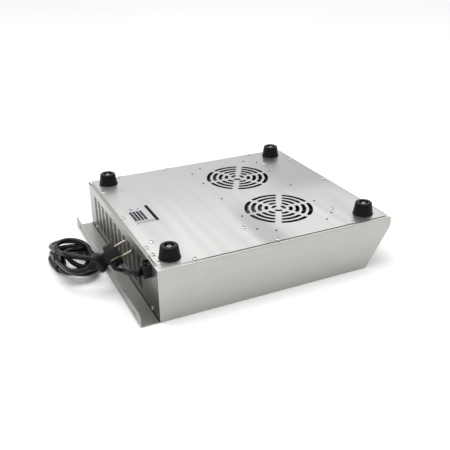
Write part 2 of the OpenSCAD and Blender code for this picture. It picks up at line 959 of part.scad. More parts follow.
module button(x) {
    on_slope()
        translate([x, 0, 0]) {
            translate([0, 0, button_foot])
                cylinder(r = button_r, h = button_face - button_foot);
            translate([0, 0, button_face])
                cylinder(r1 = button_r, r2 = button_r - 0.6, h = 0.5);
            translate([0, 0, -sheet - 0.2 - 1.2])
                cylinder(r = button_r + 1.2, h = 1.2);
        }
}

module button_power() { color("firebrick") button(button_x[2]); }
module button_mode() { color("dimgray") button(button_x[1]); }
module button_timer() { color("dimgray") button(button_x[0]); }

// Clamp-type gland: flange on the rear panel, clamp block, screw boss and angled outlet
module cable_gland() {
    block_z = gland_z - 11;
    color([0.06, 0.06, 0.06])
        difference() {
            union() {
                block([gland_x - gland_w / 2, rear_y, gland_z - gland_w / 2],
                    [gland_x + gland_w / 2, rear_y + 2.5, gland_z + gland_w / 2]);
                block([gland_x - gland_block[0] / 2, rear_y + 2, block_z],
                    [gland_x + gland_block[0] / 2, rear_y + 2 + gland_block[1], block_z + gland_block[2]]);
                translate([gland_x, rear_y + 2 + gland_block[1] / 2, gland_z])
                    cylinder(r = 6, h = 12);
                translate([gland_x, rear_y + 1, gland_z])
                    rotate([90, 0, 0])
                        cylinder(r = 7, h = 6);
                translate(gland_outlet)
                    rotate([-90, 0, outlet_turn])
                        translate([0, 0, -4])
                            cylinder(r1 = outlet_r + 1, r2 = outlet_r, h = outlet_l + 4);
            }
            translate([gland_x, rear_y + 2 + gland_block[1] / 2, gland_z + 7])
                cylinder(r = 4.2, h = 6);
            translate(gland_outlet)
                rotate([-90, 0, outlet_turn])
                    cylinder(d = cord_d, h = outlet_l + cut);
        }
}

module clamp_screws() {
    color("lightgray") {
        translate([gland_x, rear_y + 2 + gland_block[1] / 2, gland_z + 7])
            cylinder(r = 3.6, h = 2.2);
        for (s = [-1, 1])
            translate([gland_x + s * 9.6, rear_y + 2.5, gland_z + 10.3])
                rotate([-90, 0, 0])
                    cylinder(r = 1.9, h = 1.4);
    }
}

module power_cord() {
    color([0.05, 0.05, 0.05])
        tube(cord_route, cord_d, cord_sides, 3);
}

module plug_lead() {
    color([0.05, 0.05, 0.05])
        tube(lead_route, cord_d, cord_sides, 3);
}

// Outline of the tied hank: a long loop with round ends
module hank_outline(r) {
    for (p = [hank_a, hank_b])
        translate(p)
            circle(r = r, $fn = 64);
    translate([hank_a[0], hank_a[1] - r])
        square([hank_b[0] - hank_a[0], 2 * r]);
}

module cord_hank() {
    color([0.05, 0.05, 0.05])
        translate([0, 0, hank_z])
            linear_extrude(hank_h)
                hank_outline(hank_r);
}

// Wire tie round the middle of the hank
module cord_tie() {
    mid_y = (hank_a[1] + hank_b[1]) / 2;
    low = [tie_x, mid_y - hank_r - 1, hank_z];
    high = [tie_x + tie_w, mid_y + hank_r + 1, hank_z + hank_h];
    color([0.02, 0.02, 0.02])
        difference() {
            block(low - [0, tie_t, tie_t], high + [0, tie_t, tie_t]);
            block(low - [cut, 0, 0], high + [cut, 0, 0]);
        }
}

// Moulded plug: round collar with two earth recesses, waisted grip and tapered boot
module plug_body() {
    r = plug_d / 2;
    color([0.05, 0.05, 0.05])
        in_plug()
            difference() {
                union() {
                    translate([0, 0, -collar_h])
                        cylinder(r = r, h = collar_h);
                    translate([0, 0, -collar_h - grip_l])
                        intersection() {
                            cylinder(r = r - 2.5, h = grip_l + 0.1);
                            translate([-r, -9, 0])
                                cube([2 * r, 18, grip_l + 0.1]);
                        }
                    translate([0, 0, -collar_h - grip_l - boot_l])
                        cylinder(r1 = cord_d / 2 + 0.8, r2 = 8, h = boot_l + 0.1);
                }
                for (s = [-1, 1]) {
                    translate([s * pin_spacing / 2, 0, -pin_root])
                        cylinder(r = pin_r, h = pin_root + cut);
                    translate([0, s * r, -collar_h / 2 + 2])
                        cube([9, 7, collar_h + 4], center = true);
                }
                translate([0, 0, -collar_h - grip_l - boot_l - cut])
                    cylinder(d = cord_d, h = 8 + cut);
            }
}

module plug_pins() {
    color("gold")
        in_plug()
            for (s = [-1, 1])
                translate([s * pin_spacing / 2, 0, -pin_root]) {
                    cylinder(r = pin_r, h = pin_root + pin_l - 1);
                    translate([0, 0, pin_root + pin_l - 1])
                        cylinder(r1 = pin_r, r2 = pin_r - 0.9, h = 1);
                }
}

// Sprung earth contacts in the collar's two side recesses
module plug_earth_clips() {
    r = plug_d / 2;
    color("silver")
        in_plug()
            for (s = [-1, 1])
                translate([0, s * (r - 2.6), -collar_h / 2 + 2])
                    cube([clip_w, 1, collar_h - 1], center = true);
}

base_plate();
side_panel_left();
side_panel_right();
front_fascia();
rear_panel();
top_frame();
rear_flange();
ceramic_glass();
glass_seal();
rating_label();
foot_rear_left();
foot_rear_right();
foot_front_left();
foot_front_right();
foot_screws();
perimeter_screws();
support_screws();
duct_rivets();
earth_screw();
fan_frame_left();
fan_frame_right();
fan_impeller_left();
fan_impeller_right();
fan_bearings();
fan_duct();
coil_tray();
coil_supports();
ferrite_bars();
coil_carrier();
coil_winding();
mica_sheet();
temperature_sensor();
power_board();
board_standoffs();
heat_sink();
power_semiconductors();
power_capacitors();
filter_choke();
terminal_block();
inner_leads();
control_overlay();
display_lens();
display_module();
control_board();
button_switches();
potentiometer();
knob_shaft();
control_knob();
button_power();
button_mode();
button_timer();
cable_gland();
clamp_screws();
power_cord();
cord_hank();
plug_lead();
cord_tie();
plug_body();
plug_pins();
plug_earth_clips();
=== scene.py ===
import json
import math

import bmesh
import bpy
from mathutils import Euler, Matrix, Quaternion, Vector


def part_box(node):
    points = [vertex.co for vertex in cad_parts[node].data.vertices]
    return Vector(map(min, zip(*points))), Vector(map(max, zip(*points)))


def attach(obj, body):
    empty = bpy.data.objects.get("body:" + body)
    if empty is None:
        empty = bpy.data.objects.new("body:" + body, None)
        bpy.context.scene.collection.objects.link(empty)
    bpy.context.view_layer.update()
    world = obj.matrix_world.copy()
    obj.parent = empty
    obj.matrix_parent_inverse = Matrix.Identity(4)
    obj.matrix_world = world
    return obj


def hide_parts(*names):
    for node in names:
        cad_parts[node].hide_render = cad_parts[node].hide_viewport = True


# An induction cooker lying upside down on its glass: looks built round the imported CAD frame, in metres.
# Texture scales are cycles per metre and relief heights are metres, because materials use object positions.

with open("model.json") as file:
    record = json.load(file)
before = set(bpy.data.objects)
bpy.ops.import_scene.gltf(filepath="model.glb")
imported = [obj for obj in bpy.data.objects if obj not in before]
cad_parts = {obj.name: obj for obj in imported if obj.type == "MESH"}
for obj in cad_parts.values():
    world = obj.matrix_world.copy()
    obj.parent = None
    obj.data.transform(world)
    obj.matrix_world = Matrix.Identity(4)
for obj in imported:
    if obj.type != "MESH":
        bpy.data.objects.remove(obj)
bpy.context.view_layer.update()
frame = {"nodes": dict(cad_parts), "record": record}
MM = 0.001
X, Y, Z = range(3)

# ---------------------------------------------------------------- camera

CAMERA_AT = Vector((-0.8984, 0.4169, 0.5152))
CAMERA_LOOK = Vector((0.8142, -0.3824, -0.4369))
CAMERA_ROLL = math.radians(-0.58)
CAMERA_LENS = 51.57
CAMERA_SENSOR = 36
CAMERA_NEAR = 0.02


def make_camera():
    """The photograph's viewing angle, recovered from the housing's edges."""
    camera = bpy.data.objects.new("camera", bpy.data.cameras.new("camera"))
    camera.data.lens = CAMERA_LENS
    camera.data.sensor_width = CAMERA_SENSOR
    camera.data.clip_start = CAMERA_NEAR
    camera.location = CAMERA_AT
    camera.rotation_mode = "QUATERNION"
    level = CAMERA_LOOK.to_track_quat("-Z", "Y")
    camera.rotation_quaternion = level @ Quaternion((0, 0, 1), CAMERA_ROLL)
    bpy.context.scene.collection.objects.link(camera)
    bpy.context.scene.camera = camera


make_camera()

# ---------------------------------------------------------------- mains cord

# The points of part.scad's cord_route and lead_route
CORD_D = 0.008
CORD_ROUTE = [
    (-0.142, 0.1965, 0.0645), (-0.1355, 0.2025, 0.063), (-0.127, 0.2065, 0.060), (-0.117, 0.208, 0.056),
    (-0.105, 0.2083, 0.051), (-0.092, 0.208, 0.045), (-0.078, 0.207, 0.0385), (-0.063, 0.208, 0.036),
    (-0.050, 0.2085, 0.036), (-0.039, 0.213, 0.0365), (-0.030, 0.221, 0.037), (-0.023, 0.232, 0.037),
]
LEAD_ROUTE = [
    (-0.061, 0.244, 0.044), (-0.060, 0.2505, 0.041), (-0.057, 0.258, 0.0385), (-0.051, 0.265, 0.0365),
    (-0.043, 0.270, 0.035), (-0.034, 0.273, 0.0335), (-0.025, 0.275, 0.032),
]
# Each fold of the hank in turn: centre x and y, radius (clockwise if negative), and the height of the
# cord as it comes in, half way round and going out
HANK_FOLDS = [
    (0.012, 0.246, -0.026, 0.041, 0.043, 0.040),
    (0.058, 0.253, -0.026, 0.030, 0.021, 0.026),
    (0.000, 0.248, 0.026, 0.034, 0.018, 0.009),
    (0.060, 0.256, 0.026, 0.013, 0.008, 0.0043),
    (0.036, 0.254, 0.026, 0.0043, 0.0042, 0.0042),
    (0.051, 0.252, 0.026, 0.0042, 0.006, 0.012),
    (0.014, 0.250, 0.026, 0.013, 0.012, 0.014),
    (0.034, 0.249, 0.026, 0.022, 0.035, 0.036),
    (0.012, 0.240, 0.026, 0.034, 0.016, 0.013),
    (0.054, 0.253, 0.027, 0.015, 0.013, 0.020),
]
FOLD_STEP = math.radians(20)


def tangent_angle(a, b):
    """Angle from each centre to where a line touches fold a and then fold b."""
    dx, dy = b[0] - a[0], b[1] - a[1]
    return math.atan2(dy, dx) - math.acos((a[2] - b[2]) / math.hypot(dx, dy))


def wind(start, folds, end):
    """Points of a cord pulled round the folds in turn, from a start point to an end point."""
    stops = [(start[0], start[1], 0), *folds, (end[0], end[1], 0)]
    points = []
    for before, fold, after in zip(stops, folds, stops[2:]):
        x, y, radius, low, middle, high = fold
        first = tangent_angle(before, fold)
        turn = (tangent_angle(fold, after) - first) % math.tau
        if radius < 0:
            turn -= math.tau
        steps = max(3, round(abs(turn) / FOLD_STEP))
        for i in range(steps + 1):
            t = i / steps
            angle = first + turn * t
            # A parabola through the fold's three heights
            height = low * (1 - t) * (1 - 2 * t) + 4 * middle * t * (1 - t) + high * t * (2 * t - 1)
            points.append((x + radius * math.cos(angle), y + radius * math.sin(angle), height))
    return points


def bezier_cord(name, points, diameter):
    """A round cord along a smooth curve through the points."""
    data = bpy.data.curves.new(name, "CURVE")
    data.dimensions = "3D"
    data.bevel_depth = diameter / 2
    data.bevel_resolution = 5
    data.resolution_u = 6
    data.use_fill_caps = True
    spline = data.splines.new("BEZIER")
    spline.bezier_points.add(len(points) - 1)
    for knot, point in zip(spline.bezier_points, points):
        knot.co = point
        knot.handle_left_type = knot.handle_right_type = "AUTO"
    cord = bpy.data.objects.new(name, data)
    bpy.context.scene.collection.objects.link(cord)
    return cord


HANK_POINTS = wind(CORD_ROUTE[-1], HANK_FOLDS, LEAD_ROUTE[-1])
mains_cord = bezier_cord("mains_cord", CORD_ROUTE + HANK_POINTS + LEAD_ROUTE[::-1], CORD_D)

# ---------------------------------------------------------------- mesh helpers


def finish_mesh(name, bm, smooth_angle=35):
    """A bmesh as an object with outward faces, shaded smooth up to an angle."""
    bmesh.ops.recalc_face_normals(bm, faces=bm.faces)
    mesh = bpy.data.meshes.new(name)
    bm.to_mesh(mesh)
    bm.free()
    mesh.shade_smooth()
    mesh.set_sharp_from_angle(angle=math.radians(smooth_angle))
    made = bpy.data.objects.new(name, mesh)
    bpy.context.scene.collection.objects.link(made)
    return made


def in_metres(points):
    """Points written in millimetres, in metres."""
    return [tuple(value * MM for value in point) for point in points]


def closed(profile):
    """A profile that ends where it starts."""
    return [*profile, profile[0]]


def signed_power(value, power):
    return math.copysign(abs(value) ** power, value)


def add_ring(bm, points):
    return [bm.verts.new(p) for p in points]


def add_skin(bm, rings):
    """Quads between rings of equally many vertices, with both ends capped."""
    count = len(rings[0])
    for a, b in zip(rings, rings[1:]):
        for i in range(count):
            j = (i + 1) % count
            bm.faces.new((a[i], a[j], b[j], b[i]))
    bm.faces.new(rings[0][::-1])
    bm.faces.new(rings[-1])


FILLET_STEPS = 4


def fillet(profile, radii):
    """A (r, z) profile with its corners rounded, each by its own radius."""
    points = [Vector(profile[0])]
    for i in range(1, len(profile) - 1):
        corner = Vector(profile[i])
        if radii[i] <= 0:
            points.append(corner)
            continue
        back = (Vector(profile[i - 1]) - corner).normalized()
        ahead = (Vector(profile[i + 1]) - corner).normalized()
        half = math.acos(max(-1, min(1, back.dot(ahead)))) / 2
        centre = corner + (back + ahead).normalized() * radii[i] / math.sin(half)
        first = corner + back * radii[i] / math.tan(half) - centre
        last = corner + ahead * radii[i] / math.tan(half) - centre
        start = math.atan2(first.y, first.x)
        turn = (math.atan2(last.y, last.x) - start + math.pi) % math.tau - math.pi
        for k in range(FILLET_STEPS + 1):
            angle = start + turn * k / FILLET_STEPS
            points.append(centre + radii[i] * Vector((math.cos(angle), math.sin(angle))))
    points.append(Vector(profile[-1]))
    return points


ON_AXIS = 1e-6


def turned_ring(radius, height, steps):
    """A ring of points about Z, or one point where the radius is nothing."""
    if radius < ON_AXIS:
        return [Vector((0, 0, height))]
    angles = [math.tau * i / steps for i in range(steps)]
    return [Vector((radius * math.cos(angle), radius * math.sin(angle), height)) for angle in angles]


def add_lathe(bm, profile, matrix, steps=56):
    """A profile of (r, z) turned about the matrix's Z axis."""
    rings = [add_ring(bm, [matrix @ p for p in turned_ring(r, z, steps)]) for r, z in profile]
    for a, b in zip(rings, rings[1:]):
        for i in range(steps):
            j = (i + 1) % steps
            corners = [a[i % len(a)], a[j % len(a)], b[j % len(b)], b[i % len(b)]]
            corners = list(dict.fromkeys(corners))
            if len(corners) > 2:
                bm.faces.new(corners)


def add_box(bm, low, high, bevel, matrix=None, segments=3):
    """A box between two corners with every edge rounded."""
    part = bmesh.new()
    size = Vector(high) - Vector(low)
    place = Matrix.Translation((Vector(low) + Vector(high)) / 2) @ Matrix.Diagonal((*size, 1))
    bmesh.ops.create_cube(part, size=1, matrix=place)
    bmesh.ops.bevel(part, geom=part.edges[:], offset=bevel, segments=segments, profile=0.5, affect="EDGES")
    add_part(bm, part, matrix)


SAME_HEIGHT = 1e-7


def add_prism(bm, outline, low, high, bevel, matrix):
    """An outline of (x, y) between two heights, with its end edges rounded."""
    part = bmesh.new()
    base = part.faces.new([part.verts.new((x, y, low)) for x, y in outline])
    made = bmesh.ops.extrude_face_region(part, geom=[base])
    top = [v for v in made["geom"] if isinstance(v, bmesh.types.BMVert)]
    bmesh.ops.translate(part, verts=top, vec=(0, 0, high - low))
    bmesh.ops.recalc_face_normals(part, faces=part.faces)
    rims = [e for e in part.edges if abs(e.verts[0].co.z - e.verts[1].co.z) < SAME_HEIGHT]
    bmesh.ops.bevel(part, geom=rims, offset=bevel, segments=3, profile=0.5, affect="EDGES")
    add_part(bm, part, matrix)


def add_part(bm, part, matrix=None):
    """Moves one bmesh into another, and frees it."""
    if matrix is not None:
        bmesh.ops.transform(part, matrix=matrix, verts=part.verts)
    mesh = bpy.data.meshes.new("part")
    part.to_mesh(mesh)
    part.free()
    bm.from_mesh(mesh)
    bpy.data.meshes.remove(mesh)


def superellipse(half_x, half_y, z, power, steps=40):
    """A ring between an ellipse (power 2) and a rectangle (a high power)."""
    ring = []
    for i in range(steps):
        angle = math.tau * (i + 0.5) / steps
        x = half_x * signed_power(math.cos(angle), 2 / power)
        y = half_y * signed_power(math.sin(angle), 2 / power)
        ring.append(Vector((x, y, z)))
    return ring


def smooth_path(points, steps):
    """Catmull-Rom points through a route."""
    points = [Vector(p) for p in points]
    last = len(points) - 1
    path = []
    for i in range(last):
        a, b, c, d = points[max(i - 1, 0)], points[i], points[i + 1], points[min(i + 2, last)]
        for k in range(steps):
            t = k / steps
            path.append(0.5 * (2 * b + (c - a) * t + (2 * a - 5 * b + 4 * c - d) * t * t
                               + (3 * b - a - 3 * c + d) * t ** 3))
    return path + [points[-1]]


def add_sleeve(bm, path, radii, steps=28):
    """A round skin along a path, with a radius for each point."""
    rings = []
    for i, point in enumerate(path):
        along = (path[min(i + 1, len(path) - 1)] - path[max(i - 1, 0)]).normalized()
        side = along.cross(Vector((0, 0, 1))).normalized()
        up = side.cross(along)
        rings.append(add_ring(bm, [
            point + radii[i] * (math.cos(math.tau * k / steps) * side + math.sin(math.tau * k / steps) * up)
            for k in range(steps)
        ]))
    add_skin(bm, rings)


# ---------------------------------------------------------------- material helpers


def surface(name, colour, roughness, metallic=0.0, **sockets):
    """A Principled material whose uniform values sit on its own sockets."""
    made = bpy.data.materials.new(name)
    made.use_nodes = True
    shader = made.node_tree.nodes["Principled BSDF"]
    shader.inputs["Base Color"].default_value = (*colour, 1)
    shader.inputs["Roughness"].default_value = roughness
    shader.inputs["Metallic"].default_value = metallic
    for socket, value in sockets.items():
        shader.inputs[socket.replace("_", " ")].default_value = value
    made.diffuse_color = (*colour, 1)
    return made


def node(made, kind, **settings):
    new = made.node_tree.nodes.new(kind)
    for key, value in settings.items():
        setattr(new, key, value)
    return new


def link(made, source, target):
    made.node_tree.links.new(source, target)


def place(made, stretch=(1, 1, 1)):
    """Position on the object in its own frame, stretched."""
    coordinates = node(made, "ShaderNodeTexCoord")
    mapping = node(made, "ShaderNodeMapping")
    mapping.inputs["Scale"].default_value = stretch
    link(made, coordinates.outputs["Object"], mapping.inputs["Vector"])
    return mapping.outputs["Vector"]


def noise(made, scale, stretch=(1, 1, 1), detail=3.0):
    texture = node(made, "ShaderNodeTexNoise")
    texture.inputs["Scale"].default_value = scale
    texture.inputs["Detail"].default_value = detail
    link(made, place(made, stretch), texture.inputs["Vector"])
    return texture.outputs["Fac"]


def cells(made, scale):
    texture = node(made, "ShaderNodeTexVoronoi")
    texture.inputs["Scale"].default_value = scale
    link(made, place(made), texture.inputs["Vector"])
    return texture.outputs["Distance"]


def component(made, source, axis):
    """One axis of the position (Object) or of the face direction (Normal)."""
    vector = node(made, "ShaderNodeNewGeometry" if source == "Normal" else "ShaderNodeTexCoord")
    split = node(made, "ShaderNodeSeparateXYZ")
    link(made, vector.outputs[source], split.inputs[0])
    return split.outputs[axis]


def combine(made, operation, a, b):
    both = node(made, "ShaderNodeMath", operation=operation)
    link(made, a, both.inputs[0])
    link(made, b, both.inputs[1])
    return both.outputs[0]


def remap(made, value, low, high, start=0.3, stop=0.7):
    """A value from start to stop, spread from low to high."""
    spread = node(made, "ShaderNodeMapRange")
    for socket, number in (("From Min", start), ("From Max", stop), ("To Min", low), ("To Max", high)):
        spread.inputs[socket].default_value = number
    link(made, value, spread.inputs["Value"])
    return spread.outputs["Result"]


def tint(made, value, colour, amount=1.0, start=0.3, stop=0.7):
    """Mixes a colour into the base colour where the value is high."""
    shader = made.node_tree.nodes["Principled BSDF"]
    mix = node(made, "ShaderNodeMix", data_type="RGBA")
    links = shader.inputs["Base Color"].links
    if links:
        link(made, links[0].from_socket, mix.inputs["A"])
    else:
        mix.inputs["A"].default_value = shader.inputs["Base Color"].default_value
    mix.inputs["B"].default_value = (*colour, 1)
    link(made, remap(made, value, 0, amount, start, stop), mix.inputs["Factor"])
    link(made, mix.outputs["Result"], shader.inputs["Base Color"])


def paint(made, share, colour, amount=1.0):
    """Mixes a colour into the base colour by a share from 0 to 1."""
    tint(made, share, colour, amount, 0, 1)


def roughen(made, value, low, high):
    shader = made.node_tree.nodes["Principled BSDF"]
    link(made, remap(made, value, low, high), shader.inputs["Roughness"])


def emboss(made, value, height, strength=1.0):
    """Adds relief of a height, in metres, on top of any that is there."""
    shader = made.node_tree.nodes["Principled BSDF"]
    bump = node(made, "ShaderNodeBump")
    bump.inputs["Distance"].default_value = height
    bump.inputs["Strength"].default_value = strength
    if shader.inputs["Normal"].links:
        link(made, shader.inputs["Normal"].links[0].from_socket, bump.inputs["Normal"])
    link(made, value, bump.inputs["Height"])
    link(made, bump.outputs["Normal"], shader.inputs["Normal"])


def along(axis, fine, coarse):
    """Texture stretch for marks that run along one axis: fine across it and coarse along it."""
    return tuple(coarse if i == axis else fine for i in range(3))


def shade(colour, share):
    """A colour made darker (a share below 1) or lighter, no brighter than white."""
    return tuple(min(1, c * share) for c in colour)


def zone(made, axis, stops, bend=0.02):
    """A soft share from 0 to 1 along one axis, from stops of (metres, share), bent by slow noise."""
    low, high = stops[0][0], stops[-1][0]
    slow = remap(made, noise(made, 6, detail=1), -bend, bend)
    bent = combine(made, "ADD", component(made, "Object", axis), slow)
    ramp = node(made, "ShaderNodeValToRGB")
    ramp.color_ramp.interpolation = "EASE"
    elements = ramp.color_ramp.elements
    for element, (distance, share) in ((elements[0], stops[0]), (elements[1], stops[-1])):
        element.position = (distance - low) / (high - low)
        element.color = (share, share, share, 1)
    for distance, share in stops[1:-1]:
        elements.new((distance - low) / (high - low)).color = (share, share, share, 1)
    link(made, remap(made, bent, 0, 1, low, high), ramp.inputs["Fac"])
    return ramp.outputs["Color"]


OBLIQUE = 0.05


def brush_along(made, axis):
    """Stretches highlights across hair lines that run almost along one axis."""
    brush = node(made, "ShaderNodeCombineXYZ")
    for i in range(3):
        brush.inputs[i].default_value = 1 if i == axis else OBLIQUE
    geometry = node(made, "ShaderNodeNewGeometry")
    across = node(made, "ShaderNodeVectorMath", operation="CROSS_PRODUCT")
    link(made, geometry.outputs["Normal"], across.inputs[0])
    link(made, brush.outputs[0], across.inputs[1])
    link(made, across.outputs[0], made.node_tree.nodes["Principled BSDF"].inputs["Tangent"])


BRUSHED_ROUGHNESS = 0.34


def brushed(name, colour, axis, banding):
    """Brushed stainless sheet: hair lines along one axis, rolling bands across it that are embossed and
    painted lighter, partly the sheet's own tone and partly painted reflection, and handling marks.
    """
    made = surface(name, colour, BRUSHED_ROUGHNESS, metallic=1.0, Anisotropic=0.6)
    hair = noise(made, 1, along(axis, 1900, 26), detail=4)
    streak = noise(made, 1, along(axis, 330, 9), detail=3)
    bands = noise(made, 1, along(axis, 3, 58), detail=1)
    patches = noise(made, 7, detail=2)
    smudge = noise(made, 22, detail=3)
    dark, bright = shade(colour, 0.8), shade(colour, 1.14)
    tint(made, hair, dark, 0.4)
    tint(made, streak, dark, 0.16)
    tint(made, patches, dark, 0.3, 0.45, 0.75)
    # Lighter bands: partly the sheet's own tone, partly painted reflection of the room in the wavy sheet
    tint(made, bands, bright, banding)
    grain = remap(made, hair, BRUSHED_ROUGHNESS - 0.05, BRUSHED_ROUGHNESS + 0.05)
    rough = combine(made, "ADD", grain, remap(made, smudge, -0.02, 0.03))
    link(made, rough, made.node_tree.nodes["Principled BSDF"].inputs["Roughness"])
    emboss(made, hair, 0.000003)
    emboss(made, bands, 0.00006, banding)
    brush_along(made, axis)
    return made


def rubber(name, colour, roughness, grain=1800, height=0.00002, gloss=0.16):
    """Matt moulded rubber: fine pitted grain, and dust that greys it a little."""
    made = surface(name, colour, roughness, Specular_IOR_Level=gloss)
    fine = noise(made, grain, detail=2)
    patch = noise(made, 90, detail=4)
    tint(made, patch, tuple(c * 2 + 0.003 for c in colour), 0.35)
    roughen(made, patch, roughness - 0.07, roughness + 0.1)
    emboss(made, fine, height)
    return made


def plastic(name, colour, roughness, grain=1400, height=0.000012, coat=0.0):
    """Moulded plastic: spark-eroded texture and slight mottling."""
    made = surface(name, colour, roughness, Coat_Weight=coat, Coat_Roughness=0.15, Specular_IOR_Level=0.4)
    fine = noise(made, grain, detail=2)
    patch = noise(made, 70, detail=3)
    tint(made, patch, tuple(min(1, c * 1.25 + 0.01) for c in colour), 0.6)
    roughen(made, fine, roughness - 0.05, roughness + 0.08)
    emboss(made, fine, height)
    return made


def metal(name, colour, roughness, grain=900, stretch=(1, 1, 1), height=0.000006):
    """Bare or plated metal with fine tooling marks and dull patches."""
    made = surface(name, colour, roughness, metallic=1.0)
    fine = noise(made, grain, stretch, detail=3)
    patch = noise(made, 160, detail=3)
    tint(made, patch, shade(colour, 0.7), 0.35)
    roughen(made, patch, roughness - 0.06, roughness + 0.12)
    emboss(made, fine, height)
    return made


# ---------------------------------------------------------------- materials

PAN_RING_R = 110 * MM
PAN_RING_HALF_WIDTH = 1.2 * MM


def glass_ceramic():
    """Black glass with a fine speckle and a printed ring for the pan."""
    made = surface("ceramic_black", (0.008, 0.008, 0.01), 0.06, Coat_Weight=0.5)
    low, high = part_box("ceramic_glass")
    centre = (low + high) / 2
    tint(made, cells(made, 900), (0.05, 0.05, 0.055), 0.8, 0.18, 0.08)
    coordinates = node(made, "ShaderNodeTexCoord")
    away = node(made, "ShaderNodeVectorMath", operation="SUBTRACT")
    away.inputs[1].default_value = (centre.x, centre.y, low.z)
    flat = node(made, "ShaderNodeVectorMath", operation="MULTIPLY")
    flat.inputs[1].default_value = (1, 1, 0)
    radius = node(made, "ShaderNodeVectorMath", operation="LENGTH")
    link(made, coordinates.outputs["Object"], away.inputs[0])
    link(made, away.outputs[0], flat.inputs[0])
    link(made, flat.outputs[0], radius.inputs[0])
    ring = node(made, "ShaderNodeMath", operation="COMPARE")
    ring.inputs[1].default_value = PAN_RING_R
    ring.inputs[2].default_value = PAN_RING_HALF_WIDTH
    link(made, radius.outputs["Value"], ring.inputs[0])
    paint(made, ring.outputs[0], (0.55, 0.55, 0.55))
    roughen(made, noise(made, 30), 0.05, 0.09)
    return made


def label_foil():
    """Satin foil with slight ripples."""
    made = surface("label_foil", (0.48, 0.48, 0.5), 0.42, metallic=0.3)
    tint(made, noise(made, 220, detail=2), (0.42, 0.42, 0.44), 0.6)
    roughen(made, noise(made, 60), 0.36, 0.5)
    emboss(made, noise(made, 120, detail=1), 0.00008)
    return made


def circuit_board():
    """Green solder mask with traces and bright pads."""
    made = surface("circuit_board", (0.02, 0.11, 0.04), 0.35, Coat_Weight=0.3)
    traces = node(made, "ShaderNodeTexBrick")
    traces.inputs["Scale"].default_value = 90
    traces.inputs["Mortar Size"].default_value = 0.06
    link(made, place(made), traces.inputs["Vector"])
    paint(made, traces.outputs["Fac"], (0.04, 0.2, 0.07), 0.8)
    tint(made, cells(made, 260), (0.6, 0.6, 0.55), 1, 0.14, 0.1)
    emboss(made, traces.outputs["Fac"], 0.00004)
    return made


def litz_winding():
    """Enamelled strands, as fine rings about the coil's middle."""
    made = surface("enamelled_copper", (0.5, 0.2, 0.07), 0.32, metallic=0.7)
    low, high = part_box("coil_winding")
    rings = node(made, "ShaderNodeTexWave", wave_type="RINGS", rings_direction="Z")
    rings.inputs["Scale"].default_value = 150
    rings.inputs["Distortion"].default_value = 1.5
    mapping = node(made, "ShaderNodeMapping")
    mapping.inputs["Location"].default_value = -(low + high) / 2
    coordinates = node(made, "ShaderNodeTexCoord")
    link(made, coordinates.outputs["Object"], mapping.inputs["Vector"])
    link(made, mapping.outputs["Vector"], rings.inputs["Vector"])
    tint(made, rings.outputs["Fac"], (0.22, 0.07, 0.02), 0.8, 0.2, 0.8)
    emboss(made, rings.outputs["Fac"], 0.0003)
    return made


def mica():
    made = surface("mica", (0.5, 0.4, 0.22), 0.45)
    flakes = cells(made, 180)
    tint(made, flakes, (0.72, 0.62, 0.4), 0.8, 0.1, 0.6)
    emboss(made, flakes, 0.00005)
    return made


def galvanised():
    """Zinc spangle."""
    made = surface("galvanised", (0.5, 0.52, 0.53), 0.4, metallic=1.0)
    spangle = cells(made, 110)
    tint(made, spangle, (0.66, 0.68, 0.7), 0.8, 0.1, 0.6)
    roughen(made, spangle, 0.32, 0.5)
    emboss(made, noise(made, 700), 0.00001)
    return made


def ferrite():
    made = surface("ferrite", (0.045, 0.045, 0.05), 0.6)
    tint(made, noise(made, 600, detail=4), (0.09, 0.09, 0.095), 0.8)
    emboss(made, noise(made, 900), 0.00004)
    return made


def plated_brass():
    """Nickel on brass, with a warm painted shade on every face that doesn't look up."""
    made = metal("nickel_brass", (0.72, 0.69, 0.62), 0.22)
    tint(made, component(made, "Normal", Z), (0.13, 0.11, 0.08), 1, 0.97, 0.6)
    return made


def foot_rubber():
    """Black rubber, greyed on the face that looks up, the face that stands on the table."""
    made = rubber("foot_rubber", (0.003, 0.003, 0.0033), 0.4, grain=1200, height=0.00003, gloss=0.11)
    tint(made, component(made, "Normal", Z), (0.022, 0.022, 0.024), 1, 0.8, 1)
    return made


# One shell steel at two painted tones, lighter on the side panels and darker on the rear panel, the flange
# and the rest of the shell: painted light and shade for how each face meets the light. STEEL_TOP is the base
# plate's own tone
STEEL_TOP = (0.69, 0.683, 0.67)
STEEL_SIDE_LIT = (0.485, 0.48, 0.452)
STEEL_REAR_SHADED = (0.42, 0.415, 0.395)


